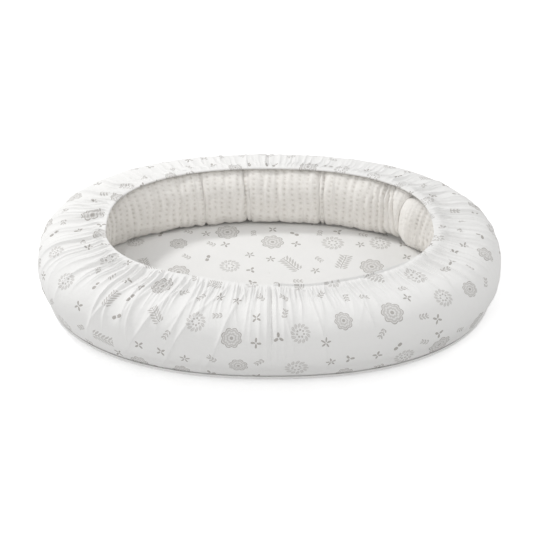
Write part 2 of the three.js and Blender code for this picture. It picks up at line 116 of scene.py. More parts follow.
def along_curve(points):
    """Distances walked along the rows of points, from 0."""
    steps = np.linalg.norm(np.diff(points, axis=0), axis=-1)
    return np.concatenate([np.zeros((1, *steps.shape[1:])), np.cumsum(steps, axis=0)])


# Meshes
MATERIALS = {}  # by their names, mostly those of the slots


def linked(name, data):
    """A new object in the scene."""
    made = bpy.data.objects.new(name, data)
    bpy.context.collection.objects.link(made)
    return made


def dressed(name, mesh, node, slot, material=None, body="nest"):
    """A new piece that stands for a solid, with the material of its slot or the one given."""
    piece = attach(linked(name, mesh), body)
    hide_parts(node)
    mesh.materials.append(MATERIALS[material or slot])
    return piece


def shade_smooth(mesh):
    mesh.polygons.foreach_set("use_smooth", np.ones(len(mesh.polygons), bool))


def cloth_uv(along, across):
    return np.stack(np.broadcast_arrays(along, across), axis=-1)


def grid_mesh(name, points, closed_across=False, closed_along=False, uv=None):
    """A mesh over points[row, column], with smooth shading. uv[row, column] is in metres of cloth."""
    rows, columns = points.shape[:2]
    index = np.arange(rows * columns).reshape(rows, columns)
    if closed_along:
        index = np.column_stack([index, index[:, 0]])
    if closed_across:
        index = np.vstack([index, index[0]])
    quads = np.stack([index[:-1, :-1], index[:-1, 1:], index[1:, 1:], index[1:, :-1]], axis=-1)
    mesh = bpy.data.meshes.new(name)
    mesh.from_pydata(points.reshape(-1, 3).tolist(), [], quads.reshape(-1, 4).tolist())
    shade_smooth(mesh)
    if uv is not None:
        layer = mesh.uv_layers.new(name="cloth")
        corner = np.empty(len(mesh.loops), np.int32)
        mesh.loops.foreach_get("vertex_index", corner)
        layer.data.foreach_set("uv", uv.reshape(-1, 2)[corner].astype(np.float32).ravel())
    mesh.update()
    return mesh


def cap_ends(mesh):
    """Closes the open ends of a tube."""
    made = bmesh.new()
    made.from_mesh(mesh)
    bmesh.ops.holes_fill(made, edges=[e for e in made.edges if e.is_boundary], sides=0)
    bmesh.ops.recalc_face_normals(made, faces=made.faces)
    made.to_mesh(mesh)
    made.free()


# Cover wall
WALL_OFFSET = -0.0012  # of the wall from the bolster's plain section, which it presses in
FOOT = (0.0503, 0.0135)
FOOT_TURN = (0.0550, 0.0104)  # the cloth hangs out a little over the seam at its foot
LOWER_WALL_POWER = 3.0
SIDE_ROWS = 40
TOP_ROWS = 34
TOP_CROWDING = 0.85  # of its rows, towards the hem
HALF_COLUMNS = 1000
DENSE_COLUMNS = 1200
CUT_LENGTH = 1.225  # of each half
EVENNESS = 0.6  # how far the gathers are spread evenly along the hem

HEM_LEVEL = 0.1429
HEM_REACH_FRONT = 0.064  # inwards from the bolster's middle line
HEM_REACH_BACK = 0.031
HEM_REACH_END = 0.062
HEM_HOLD = 0.015  # how far the front seam holds the hem out, and over what length
HEM_HOLD_LENGTH = 0.16
HEM_HOLD_RIGHT = 0.0115  # more of it at the near right
HEM_HOLD_RIGHT_SPAN = (0.10, 0.34, 0.22)  # comes over, ends at and goes over, from the seam
HEM_LIP = 0.0036  # how far the hem's edge stands up at the near right
HEM_LIP_SPAN = (0.012, 0.34, 0.08)
HEM_LIP_HOLLOW = 0.3  # how far the next row goes down, as a part of it
HEM_THICKNESS = 0.0034
HEM_TURN_STEPS = 6
HEM_TUNNEL = 0.0142
HEM_UNDER_ROWS = 6

# Kinds of gathers: spacing, width, height, where one is highest, and the least and the greatest reach
GATHERS = (
    (0.0085, 0.0016, 0.0024, 0.018, (0.050, 0.15)),
    (0.0165, 0.0025, 0.0072, 0.026, (0.080, 0.26)),
    (0.0600, 0.0110, 0.0050, 0.090, (0.150, 0.27)),
)
SEAM_FOLDS = ((0.009, 0.0062), (0.023, 0.0050), (0.040, 0.0044))  # distance from the seam, height
SEAM_FOLD_WIDTH = 0.0032
SEAM_FOLD_PEAK = 0.06
SEAM_FOLD_REACH = 0.27
SEAM_WIDTH = 0.005  # over which the folds come up beside a seam
FOLD_WAVE = 0.035  # length of the slow bends of a fold
FOLD_LIMIT = 0.0095  # folds that meet don't rise above it
FOLD_SLOPE = 0.09  # over what length they lose height
CRUMPLE_HEIGHT = 0.0007

# Long slanting folds: place at the hem, lean, height and reach
PULLED_LEFT = (
    (1.178, -0.38, 0.0042, 0.25), (1.128, -0.50, 0.0052, 0.26), (1.092, -0.50, 0.0030, 0.16),
    (1.040, -0.44, 0.0052, 0.25), (0.985, -0.36, 0.0030, 0.18), (0.930, -0.32, 0.0045, 0.24),
)
PULLED_RIGHT = ((0.085, 0.08, 0.0032, 0.22), (0.170, 0.22, 0.0030, 0.18))
PULLED_WIDTH = 0.0022
PULLED_SWAY = 0.003
PULLED_RISE = 0.04
PULLED_FADE = 0.1
FRONT_LEFT = 0.62  # where the cloth is pulled most, and over what length
FRONT_LEFT_LENGTH = 0.3


def distance_past(share, seam):
    """Distance round the oval from a place. It is negative on the side of the lesser shares."""
    away = share - seam
    return (away - np.round(away)) * OVAL_LENGTH


def seam_distance(share, seam):
    return np.abs(distance_past(share, seam))


def near_right(share, rise, end, fall):
    """1 to the right of the front seam, which comes over rise, goes over fall and ends at end."""
    past = distance_past(share, FRONT_SEAM)
    return smooth(past / rise) * smooth((end - past) / fall)


def hem_reach(share):
    _, _, out_x, out_y = oval_at(share)
    side = np.where(out_y > 0, HEM_REACH_BACK, HEM_REACH_FRONT)
    held = HEM_HOLD * smooth(1 - seam_distance(share, FRONT_SEAM) / HEM_HOLD_LENGTH)
    held += HEM_HOLD_RIGHT * near_right(share, *HEM_HOLD_RIGHT_SPAN)
    return held - (HEM_REACH_END * out_x**2 + side * out_y**2)


def wall_side():
    """The wall's section from its foot to the top of the bolster, as rows of (u, z) at even steps."""
    angle = np.radians(np.linspace(-40, 90, 60))
    power = np.where(angle < 0, LOWER_WALL_POWER, SECTION_POWER)
    u = (SECTION_HALF_WIDTH + WALL_OFFSET) * np.abs(np.cos(angle)) ** (2 / power)
    z = SECTION_MIDDLE + (SECTION_HALF_HEIGHT + WALL_OFFSET) * signed_power(np.sin(angle), 2 / power)
    curve = np.vstack([FOOT, FOOT_TURN, np.column_stack([u, z])])
    walked = along_curve(curve)
    even = np.linspace(0, walked[-1], SIDE_ROWS * 4 + 1)
    curve = np.column_stack([np.interp(even, walked, curve[:, k]) for k in (0, 1)])
    for _ in range(90):
        curve[1:-1] = (curve[:-2] + 2 * curve[1:-1] + curve[2:]) / 4
    return curve[::4]


def even_share(u, start):
    """Shares of the places at even distances along a row that lies at u, over one half."""
    share = np.linspace(start, start + 0.5, len(u))
    walked = along_curve(placed(share, u, 0.0))
    return np.interp(np.linspace(0, walked[-1], HALF_COLUMNS), walked, share)


def smooth_wall(start):
    """Shares and points of one half of the wall without its folds, in rows from the foot to the hem."""
    side = wall_side()
    widest = side[:, 0].argmax()
    dense = np.linspace(start, start + 0.5, DENSE_COLUMNS)
    at_widest = even_share(np.full(DENSE_COLUMNS, side[widest, 0]), start)
    at_hem = even_share(hem_reach(dense), start)
    last = SIDE_ROWS + TOP_ROWS
    climb = smooth((np.arange(last + 1) - widest) / (last - widest))
    share = at_widest + EVENNESS * climb[:, None] * (at_hem - at_widest)
    step = (np.arange(1, TOP_ROWS + 1)[:, None] / TOP_ROWS) ** TOP_CROWDING
    side_u = np.broadcast_to(side[:, :1], (len(side), HALF_COLUMNS))
    u = np.concatenate([side_u, step * hem_reach(share[len(side):])])
    z = np.concatenate([side[:, 1:], side[-1, 1] + (HEM_LEVEL - side[-1, 1]) * smooth(step)])
    return share, placed(share, u, z)


def fold_table(seed):
    """The gathers of one half: place along the cut, width, height, where each is highest, reach, lean, bend
    and how much steeper its one side is than the other."""
    rng = np.random.default_rng(seed)
    folds = []
    for spacing, width, height, peak, (short, long) in GATHERS:
        place = rng.uniform(0.2, 0.8) * spacing
        while place < CUT_LENGTH:
            size = rng.uniform(0, 1) ** 1.4
            folds.append((
                place,
                width * rng.uniform(0.75, 1.3),
                height * (0.35 + 1.1 * size),
                peak * rng.uniform(0.7, 1.5),
                short + (long - short) * size * rng.uniform(0.6, 1.2),
                rng.normal(0, 0.05),
                rng.normal(0, 0.006),
                math.exp(rng.normal(0, 0.35)),
            ))
            place += spacing * rng.uniform(0.55, 1.45)
    for near, height in SEAM_FOLDS:
        for place in (near, CUT_LENGTH - near):
            tall = height * rng.uniform(0.8, 1.2)
            folds.append((place, SEAM_FOLD_WIDTH, tall, SEAM_FOLD_PEAK, SEAM_FOLD_REACH, 0.0, 0.0, 1.0))
    return folds


def fold_traits(share):
    """What the place does to the gathers: their strength, how much longer than in the table they are, what
    part of their height they lose over the outer shoulder and how far from the hem that starts."""
    _, _, out_x, out_y = oval_at(share)
    far = out_y > 0
    from_front, from_back = seam_distance(share, FRONT_SEAM), seam_distance(share, BACK_SEAM)
    front_left = smooth(1 - seam_distance(share, FRONT_LEFT) / FRONT_LEFT_LENGTH)
    at_seam = smooth(1 - np.minimum(from_front, from_back) / 0.11)
    strength = np.maximum(0.35 + 0.65 * np.maximum(out_x**2, at_seam), front_left)
    strength = strength * np.where(far, 1 - 0.45 * out_y**2, 1.0)
    stretch = 0.8 + 0.65 * np.maximum(out_x**4, front_left)
    loss = np.where(far, 0.8, 0.5 + 0.3 * out_x**2 - 0.4 * smooth(1 - from_front / 0.09))
    start = np.where(far, 0.03 + 0.04 * out_x**4, 0.07)
    return strength, stretch, loss, start


def pulled_height(along, from_hem, folds):
    """Height of the long slanting folds, which keep it almost down to the foot."""
    height = np.zeros_like(from_hem)
    for place, lean, tall, reach in folds:
        shift = lean * from_hem + PULLED_SWAY * np.sin(from_hem / FOLD_WAVE + place * 40)
        across = np.abs(along - place - shift) / (PULLED_WIDTH * (1 + from_hem / 0.2))
        rise = smooth(from_hem / PULLED_RISE) * smooth((reach - from_hem) / PULLED_FADE)
        height += tall * rise * np.exp(-across)
    return height


def gather_height(along, from_hem, excess, seed):
    """Height of the gathers over the smooth wall. excess is how much longer the cloth is than its place.

    from_hem is the distance from the hem, made shorter where the folds are longer."""
    height = np.zeros_like(excess)
    for place, width, tall, peak, reach, lean, bend, steep in fold_table(seed):
        shift = lean * from_hem + bend * np.sin(from_hem / FOLD_WAVE)
        spread = width * (0.8 + from_hem / 0.11)
        across = (along - place - shift) / spread
        across = np.where(across < 0, across * steep, across / steep)
        rise = smooth(0.35 + 0.65 * from_hem / peak)
        fade = smooth((reach - from_hem) / (0.6 * reach))
        height += tall * np.exp(-np.abs(across)) * rise * fade
    crumple = noise(along / 0.012, from_hem / 0.03, seed + 5)
    height += CRUMPLE_HEIGHT * crumple * smooth(1 - from_hem / 0.08)
    height *= np.sqrt(excess / 0.3)
    return np.maximum(height, 0) * (0.22 + 0.78 * smooth(from_hem / 0.016))


def fold_height(along, walked, share, step, seed, pulled):
    """Height of all folds of one half. walked is the distance from the foot, step that between columns."""
    strength, stretch, loss, start = fold_traits(share)
    from_hem = walked[-1] - walked
    excess = np.clip(CUT_LENGTH / (HALF_COLUMNS - 1) / step - 1, 0.004, 0.6)
    excess = np.maximum(excess, 0.10 * strength) * smooth((walked - 0.005) / 0.11)
    height = gather_height(along, from_hem / stretch, excess, seed)
    height *= 0.45 + 1.15 * strength
    height *= 1 - loss * smooth((from_hem - start) / FOLD_SLOPE)
    height *= 1 - 0.4 * smooth(1 - seam_distance(share, BACK_SEAM) / 0.03)
    to_seam = np.minimum(along, CUT_LENGTH - along)
    height *= smooth(to_seam / SEAM_WIDTH)
    height += pulled_height(along, from_hem, pulled) * smooth(to_seam / SEAM_WIDTH)
    return FOLD_LIMIT * np.tanh(height / FOLD_LIMIT)


def evened(values, reach):
    """Means of each row over a window of columns."""
    window = np.ones(2 * reach + 1) / (2 * reach + 1)
    wide = np.pad(values, ((0, 0), (reach, reach)), mode="edge")
    return np.apply_along_axis(np.convolve, 1, wide, window, mode="valid")


def wall_half(name, node, start, seed, pulled):
    share, base = smooth_wall(start)
    walked = along_curve(base)
    along = np.broadcast_to(np.linspace(0, CUT_LENGTH, HALF_COLUMNS), walked.shape)
    lengthwise = np.gradient(base, axis=1)
    normal = np.cross(lengthwise, np.gradient(base, axis=0))
    normal /= np.linalg.norm(normal, axis=-1, keepdims=True)
    height = fold_height(along, walked, share, np.linalg.norm(lengthwise, axis=-1), seed, pulled)
    sink = evened(height, 40) * smooth((walked[-1] - walked) / 0.03)
    points = base + normal * (height - sink)[..., None]
    points[-1, :, 2] += HEM_LIP * near_right(share[-1], *HEM_LIP_SPAN)
    points[-2, :, 2] -= HEM_LIP_HOLLOW * HEM_LIP * near_right(share[-2], *HEM_LIP_SPAN)
    uv = cloth_uv(along + start * 2 * CUT_LENGTH, walked)
    points, uv = with_hem(points, uv, base, height, share)
    piece = dressed(name, grid_mesh(name, points, uv=uv), node, "printed_cotton")


def with_hem(points, uv, base, height, share):
    """Adds the rows of the hem, which is turned in round the elastic and lies back under it."""
    _, _, out_x, out_y = oval_at(share[-1])
    inwards = -np.stack([out_x, out_y, np.zeros_like(out_x)], axis=-1)
    upwards = np.array([0, 0, 1])
    edge, edge_height = points[-1], height[-1][:, None]
    rows, marks = [], []
    half = HEM_THICKNESS / 2 + edge_height
    bulge = HEM_THICKNESS * 0.55 + 0.35 * edge_height
    for k in range(1, HEM_TURN_STEPS + 1):
        turn = math.pi * k / HEM_TURN_STEPS
        middle = edge - upwards * half
        rows.append(middle + inwards * bulge * math.sin(turn) + upwards * half * math.cos(turn))
        marks.append(uv[-1] + [0, HEM_THICKNESS * k / HEM_TURN_STEPS])
    for k in range(1, HEM_UNDER_ROWS + 1):
        back = HEM_TUNNEL * k / HEM_UNDER_ROWS
        drop = HEM_THICKNESS + edge_height * (1 - 0.5 * k / HEM_UNDER_ROWS)
        rows.append(base[-1] - inwards * back - upwards * drop)
        marks.append(uv[-1] + [0, HEM_THICKNESS + back])
    return np.concatenate([points, rows]), np.concatenate([uv, marks])


# Bolster
DOME_LENGTH = 0.06
DOME_JOIN = 0.103
DOME_END = math.asin(0.9995)
CAP_SEAM_DISTANCE = 0.075
END_GAP = 0.0008  # between the two ends
END_TURN = 0.017  # how far the front run's end turns inwards, and over what length it does
END_TURN_LENGTH = 0.17
RIM_INNER_TURN = 0.42  # where the rear end meets the dome, as the dome's own angle
RIM_OUTER_TURN = 0.7
RIM_TUCK = 0.14  # how much deeper the rear run's end goes behind the dome
SHOULDER_LENGTH = 0.010
SHOULDER_POWER = 4.0
REAR_SEAM_DISTANCE = 0.03
BOLSTER_SIDES = 132
BOLSTER_STEP = 0.0025
INNER_CROWDING = 0.5
GIRTH_RADIUS = 0.066
BAND_PITCH = 0.0168
BAND_COUNT = 401
HUMP_PITCH = 0.0105
PUCKER_HEIGHT = 0.0012
END_PAINTED_SHADE = 0.05  # how much painted shade of the puckers' hollows the two ends get; with so little, they are painted lighter than the casing, as if more light fell on them
PRESSED_POWER = 3.2  # the lower inner side, which lies against the floor panel, is squarer
PRESSED_BY_WALL = 0.0068
RIGHT_SLIMNESS = 0.018  # how much flatter the inner side is at the two ends of the oval
LEFT_SLIMNESS = 0.026
TIP_SHARE = 1 + DOME_JOIN
DOME_SHARE = TIP_SHARE - DOME_LENGTH / OVAL_LENGTH
WRINKLES = ((0.0016, 0.03, 0.5, 5), (0.0013, 0.007, 0.7, 15))  # height, length, turn and seed
SCALLOP_HEIGHT = 0.0016
DEEP_CREASES = (  # share, depth, width and lean
    (0.321, 0.0070, 0.0021, 0.004), (0.275, 0.0070, 0.0021, 0.004), (0.270, 0.0045, 0.0021, 0.004),
    (0.194, 0.0070, 0.0021, 0.004), (0.189, 0.0050, 0.0021, 0.004), (0.124, 0.0040, 0.0023, 0.006),
    (0.117, 0.0070, 0.0023, 0.008), (0.110, 0.0060, 0.0023, 0.014), (0.103, 0.0070, 0.0023, 0.018),
)


def end_shift(share):
    """How far the front run's end has turned inwards. The rear run starts past the tip and doesn't turn."""
    past_tip = distance_past(share, DOME_JOIN)
    return np.where(past_tip > 0, 0, END_TURN * smooth(1 + past_tip / END_TURN_LENGTH))


def bolster_points(share, size=1.0, outside=0.0, relief=1.0, shift=None):
    """Points of the bolster's surface, each with its distance along the bolster as a fourth number.

    share and size are numbers for each column, or for each row and column."""
    angle, share, size = np.broadcast_arrays(bolster_angles()[:, None], share, size)
    cos, sin = np.cos(angle), np.sin(angle)
    shift = end_shift(share) if shift is None else shift
    out = outside + relief * bolster_relief(share * OVAL_LENGTH, angle)
    squared = smooth((-cos - 0.05) / 0.3) * smooth((-sin - 0.02) / 0.3)
    power = SECTION_POWER + (PRESSED_POWER - SECTION_POWER) * squared
    _, _, out_x, _ = oval_at(share)
    slimness = np.where(out_x > 0, RIGHT_SLIMNESS, LEFT_SLIMNESS) * smooth(out_x**2 / 0.65)
    half_width = SECTION_HALF_WIDTH - np.where(cos < 0, slimness, 0)
    plain_u = half_width * signed_power(cos, 2 / power)
    out = out - under_wall(share, plain_u, sin)
    u = plain_u * size + out * cos
    z = SECTION_HALF_HEIGHT * signed_power(sin, 2 / power) * size + out * sin
    lowest = BOLSTER_BOTTOM - np.minimum(outside, 0)
    points = placed(share, u - shift, np.maximum(SECTION_MIDDLE + z, lowest))
    return np.concatenate([points, share[..., None] * OVAL_LENGTH], axis=-1)


def under_wall(share, u, sin):
    """How much the wall presses the bolster in where it covers it."""
    edge = np.where(sin > 0, hem_reach(share) + 0.008, -0.007)
    return PRESSED_BY_WALL * smooth((u - edge) / 0.02)


def bolster_angles():
    """Angles round the section, closer together on the inner side, which shows."""
    even = 2 * np.pi * (np.arange(BOLSTER_SIDES) + 0.5) / BOLSTER_SIDES
    return even + INNER_CROWDING * np.sin(even)


def pucker_height(along, angle):
    """The seersucker's puckers from -1 to 1: bands across the cloth, each a ladder of small humps. They
    shape the casing and also set the painted shade in its hollows.
    """
    girth = angle * GIRTH_RADIUS
    band = along / BAND_PITCH + 0.22 * noise(girth / 0.03, along / 0.04, 8)
    off_middle = np.abs(band - np.floor(band) - 0.5)
    start = np.random.default_rng(9).uniform(0, 1, BAND_COUNT)[np.floor(band).astype(int) % BAND_COUNT]
    hump = np.cos(2 * np.pi * (girth / HUMP_PITCH + start + 0.3 * noise(girth / 0.02, along / 0.02, 10)))
    ladder = smooth(1 - off_middle / 0.34)
    edge = smooth(1 - off_middle / 0.5) * 2 - 1
    dash = smooth((hump - 0.05) / 0.7) * smooth(1 - off_middle / 0.24)
    grain = noise(along / 0.004, girth / 0.006, 11)
    return 0.45 + 0.25 * ladder - 1.25 * dash - 0.22 * edge + 0.2 * grain


def bolster_relief(along, angle):
    """How far the casing stands out from its plain section: creases, wrinkles and the weave's puckers."""
    inner = smooth((0.45 - np.cos(angle)) / 1.1)
    relief = np.zeros_like(angle)
    for place, depth, width, lean in CREASES:
        offset = along - place - lean * np.sin(angle) - 0.0012 * noise(angle / 0.12, place * 90, 12)
        offset = (offset + OVAL_LENGTH / 2) % OVAL_LENGTH - OVAL_LENGTH / 2
        relief -= depth * inner * np.exp(-np.abs(offset / width) ** 1.4)
        relief -= 0.25 * depth * inner * np.exp(-((offset / (4 * width)) ** 2))
    for height, length, turn, seed in WRINKLES:
        relief += height * noise(along / length, angle / turn, seed) * inner
    scallop = np.abs(np.sin(np.pi * along / BAND_PITCH)) + 0.5 * noise(along / 0.02, angle / 3, 14)
    low_inner = smooth((-np.sin(angle) - 0.45) / 0.4) * smooth((-np.cos(angle) - 0.1) / 0.4)
    return relief + SCALLOP_HEIGHT * scallop * low_inner + PUCKER_HEIGHT * pucker_height(along, angle)


def crease_list():
    """Creases of the casing: place along the bolster, depth, width and lean."""
    rng = np.random.default_rng(41)
    creases = []
    place = (TIP_SHARE - 1) * OVAL_LENGTH + 0.02
    while place < OVAL_LENGTH:
        size = rng.uniform(0, 1)
        lean = rng.uniform(-0.006, 0.006)
        creases.append((place, 0.001 + 0.0018 * size, 0.002 + 0.0015 * size, lean))
        place += rng.uniform(0.03, 0.075)
    return creases + [(share * OVAL_LENGTH, *rest) for share, *rest in DEEP_CREASES]


CREASES = crease_list()


def dome_points(turns, outside=0.0, relief=1.0):
    share = DOME_SHARE + (DOME_LENGTH + outside) * np.sin(turns) / OVAL_LENGTH
    return bolster_points(share, np.cos(turns), outside * np.cos(turns), relief * np.cos(turns) ** 0.5)


def rear_end_points(outside=0.0, relief=1.0):
    """The rear end: a tube with a round shoulder, then a hollow that lies against the dome."""
    cos = np.cos(bolster_angles())
    rim = RIM_OUTER_TURN + (RIM_INNER_TURN - RIM_OUTER_TURN) * smooth(0.5 - 0.62 * cos)
    rim = np.maximum(rim, RIM_TUCK + np.arccos(1 - END_TURN * np.maximum(-cos, 0) / SECTION_HALF_WIDTH))
    rim_share = DOME_SHARE - 1 + (DOME_LENGTH + END_GAP) * np.sin(rim) / OVAL_LENGTH
    shoulder = rim_share.max() + SHOULDER_LENGTH / OVAL_LENGTH
    seam = shoulder + REAR_SEAM_DISTANCE / OVAL_LENGTH
    t = np.linspace(1, 0, 34)[None, :]
    share = shoulder + (rim_share[:, None] - shoulder) * t
    closing = 1 - np.sqrt(1 - np.clip(t, 0, 1) ** SHOULDER_POWER)
    size = 1 - (1 - np.cos(rim[:, None])) * closing
    shift = end_shift(rim_share)[:, None] * closing
    curve = bolster_points(share, size, outside, relief * (1 - closing), shift)
    tube = bolster_points(np.linspace(shoulder, seam, 16)[1:], 1.0, outside, relief, 0.0)
    turns = DOME_END + (rim[:, None] - DOME_END) * np.linspace(0, 1, 16)[None, :-1]
    cup_share = DOME_SHARE - 1 + (DOME_LENGTH + END_GAP - outside) * np.sin(turns) / OVAL_LENGTH
    cup = bolster_points(cup_share, np.cos(turns), (END_GAP + outside) * np.cos(turns), 0.0)
    return np.concatenate([cup, curve, tube], axis=1), seam


def bolster():
    rear, rear_seam = rear_end_points()
    front_seam = TIP_SHARE - CAP_SEAM_DISTANCE / OVAL_LENGTH
    step = BOLSTER_STEP / OVAL_LENGTH
    casing = bolster_points(np.append(np.arange(rear_seam, front_seam, step), front_seam))
    run = bolster_points(np.linspace(front_seam, DOME_SHARE, 8)[:-1])
    front = np.concatenate([run, dome_points(np.linspace(0.0, DOME_END, 44))], axis=1)
    angles = bolster_angles()[:, None]
    # Each piece comes with how much of the painted hollow shade it gets: the ends get little, so they are
    # painted lighter, as if more lit.
    for name, marked, node, shade in (
        ("bolster_casing_cloth", casing, "bolster_casing", 1),
        ("bolster_front_end_cloth", front, "bolster_end_front", END_PAINTED_SHADE),
        ("bolster_rear_end_cloth", rear, "bolster_end_rear", END_PAINTED_SHADE),
    ):
        points = marked[..., :3]
        walked = along_curve(points.swapaxes(0, 1)).swapaxes(0, 1)
        uv = cloth_uv(walked, angles * GIRTH_RADIUS)
        mesh = grid_mesh(name, points[::-1], closed_across=True, uv=uv[::-1])
        # Painted shade: the cloth is coloured darker where the puckers' hollows lie, as the shade in them
        # would fall.
        bright = np.clip(0.5 + 0.5 * pucker_height(marked[..., 3], angles), 0, 1)
        tone = np.clip(1 - shade * (1 - bright), 0, 1)
        values = mesh.attributes.new("pucker_painted_shade", "FLOAT", "POINT").data
        values.foreach_set("value", tone[::-1].astype(np.float32).ravel())
        dressed(name, mesh, node, "seersucker")


FILLING_INSET = 0.006
FILLING_RELIEF = 0.6
FILLING_STEP = 0.005


def filling():
    """The loose fibre inside, a little smaller than the casing."""
    rear, seam = rear_end_points(-FILLING_INSET, FILLING_RELIEF)
    shares = np.arange(seam, DOME_SHARE, FILLING_STEP / OVAL_LENGTH)
    run = bolster_points(shares, outside=-FILLING_INSET, relief=FILLING_RELIEF)
    dome = dome_points(np.linspace(0.0, DOME_END, 16), -FILLING_INSET)
    points = np.concatenate([rear, run[:, 1:], dome], axis=1)[..., :3]
    mesh = grid_mesh("bolster_filling_fibre", points[::-1], closed_across=True)
    cap_ends(mesh)
    dressed("bolster_filling_fibre", mesh, "bolster_filling", "fibre")


# Mattress pocket
FLOOR_LEVEL = 0.0185
CROWN = 0.011
EDGE_RISE = 0.72  # of the crown, where the floor panel comes out from under the bolster
PANEL_EDGE = ((0.0496, 0.0094), (0.0492, 0.0115), (0.0478, 0.0150), (0.0440, FLOOR_LEVEL))
PANEL_INNER = -0.071  # from there the rings are scaled ovals
SWELLS = ((0.0007, 0.07, 21), (0.0004, 0.03, 22))  # height, length and seed
CORE_VOXEL = 0.004
CORE_CLEARANCE = 0.0008
BINDING_RADIUS = 0.0025
BINDING_REACH = 0.0522
BINDING_SIDES = 14
BINDING_GIRTH_STEP = 0.00135
ROUND_COLUMNS = 720
ELASTIC_INSET = 0.0021  # from the hem's edge
ELASTIC_WIDTH = 0.0115
ELASTIC_HEIGHTS = (0.1406, 0.1413)
ELASTIC_RIB_PITCH = 0.0014
RIB_HEIGHT = 0.00012


def floor_panel():
    rows = [(u, z, 1.0) for u, z in PANEL_EDGE]
    for u in np.linspace(0.03, PANEL_INNER, 24):
        rows.append((u, FLOOR_LEVEL + CROWN * EDGE_RISE * smooth((-0.038 - u) / 0.036), 1.0))
    for scale in np.linspace(0.985, 0.004, 70):
        rows.append((PANEL_INNER, FLOOR_LEVEL + CROWN * (1 - (1 - EDGE_RISE) * scale**2.2), scale))
    share = np.linspace(0, 1, 360, endpoint=False)
    points = np.stack([placed(share, u, z, scale) for u, z, scale in rows])
    x, y = points[..., 0], points[..., 1]
    swell = sum(height * noise(x / length, y / length, seed) for height, length, seed in SWELLS)
    points[..., 2] += swell * smooth((np.arange(len(rows))[:, None] - 10) / 14)
    mesh = grid_mesh("floor_panel_cloth", points, closed_along=True, uv=points[..., :2])
    dressed("floor_panel_cloth", mesh, "floor_panel", "printed_cotton")


def mattress_core():
    """A copy of the solid with its surface remade at an even fineness, clear of the base panel."""
    rough = linked("rough_core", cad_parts["mattress_core"].data.copy())
    rough.data.materials.clear()
    remesh = rough.modifiers.new("remesh", "REMESH")
    remesh.mode = "VOXEL"
    remesh.voxel_size = CORE_VOXEL
    remesh.use_smooth_shade = True
    relax = rough.modifiers.new("relax", "SMOOTH")
    relax.iterations = 4
    evaluated = rough.evaluated_get(bpy.context.evaluated_depsgraph_get())
    mesh = bpy.data.meshes.new_from_object(evaluated)
    bpy.data.objects.remove(rough)
    points = np.empty(len(mesh.vertices) * 3)
    mesh.vertices.foreach_get("co", points)
    points = points.reshape(-1, 3)
    points[:, 2] -= 0.0006 + 0.0004 * noise(points[:, 0] / 0.02, points[:, 1] / 0.02, 31)
    panel_top = recess_height(points[:, 0], points[:, 1]) + PANEL_THICKNESS
    points[:, 2] = np.maximum(points[:, 2], panel_top + CORE_CLEARANCE)
    mesh.vertices.foreach_set("co", points.ravel())
    dressed("mattress_core_wadding", mesh, "mattress_core", "wadding")


def edge_binding():
    share = np.linspace(0, 1, ROUND_COLUMNS, endpoint=False)
    side = np.arange(BINDING_SIDES)[::-1, None]
    angle = 2 * math.pi * side / BINDING_SIDES
    radius = BINDING_RADIUS * (1 + 0.07 * noise(share * OVAL_LENGTH / 0.006, side / 3, 51))
    points = placed(share, BINDING_REACH + radius * np.cos(angle), SEAM_HEIGHT + radius * np.sin(angle))
    uv = cloth_uv(share * OVAL_LENGTH, side * BINDING_GIRTH_STEP)
    mesh = grid_mesh("edge_binding_cloth", points, True, True, uv)
    dressed("edge_binding_cloth", mesh, "edge_binding", "printed_cotton", material="binding_cotton")


def band_profile(across, low, high, ribs):
    """The section of a flat band with ribs on both faces: columns of places across it and of heights."""
    places = np.concatenate([across, across[::-1]])
    heights = np.concatenate([high + ribs, low - ribs[::-1]])
    return places[:, None], heights[:, None]


def hem_elastic():
    """A band with cords woven in along it."""
    share = np.linspace(0, 1, ROUND_COLUMNS, endpoint=False)
    reach = hem_reach(share) + ELASTIC_INSET
    across = np.linspace(0, ELASTIC_WIDTH, 34)
    ribs = RIB_HEIGHT * np.cos(2 * np.pi * across / ELASTIC_RIB_PITCH)
    u, z = band_profile(across, *ELASTIC_HEIGHTS, ribs)
    points = placed(share, reach + u, z)
    uv = cloth_uv(share * 1.6, np.linspace(0, 0.025, len(u))[:, None])
    mesh = grid_mesh("hem_elastic_band", points[::-1], True, True, uv[::-1])
    dressed("hem_elastic_band", mesh, "hem_elastic", "elastic")


# Underside and zip
RECESS_HALF = (0.29, 0.034)
RECESS_SLOPE = 0.01
RECESS_DEPTH = 0.0038
RECESS_MARGIN = 0.008
SLIT_HALF = (0.265, 0.0065)
PANEL_THICKNESS = 0.0012
PANEL_FLAT = 0.044  # how far out the underside is flat
RIM_PROPORTION = (3.9, 2.2)  # which bearings on the rim and on the hollow's edge go together
HOLLOW_PROPORTION = (0.30, 0.09)
PANEL_RIM = ((0.0463, 0.0018), (0.0482, 0.0036), (0.0492, 0.0056), (0.0495, 0.0076))
ZIP_HALF = 0.26
TAPE_LEVEL = 0.0057
TAPE_HALF_THICKNESS = 0.00026
TAPE_EDGES = (0.0038, 0.0186)
TAPE_PAST_TEETH = 0.0118
TAPE_CORD = (0.0046, 0.0006)  # where the raised cord lies and its width
COIL_PITCH = 0.0013
COIL_WIRE = 0.00034
COIL_MIDDLE = 0.00215
COIL_HALF_WIDTH = 0.00088
COIL_HALF_HEIGHT = 0.00063
COIL_START = 0.0003


def bearings(points, proportion):
    return np.arctan2(points[:, 1] / proportion[1], points[:, 0] / proportion[0])


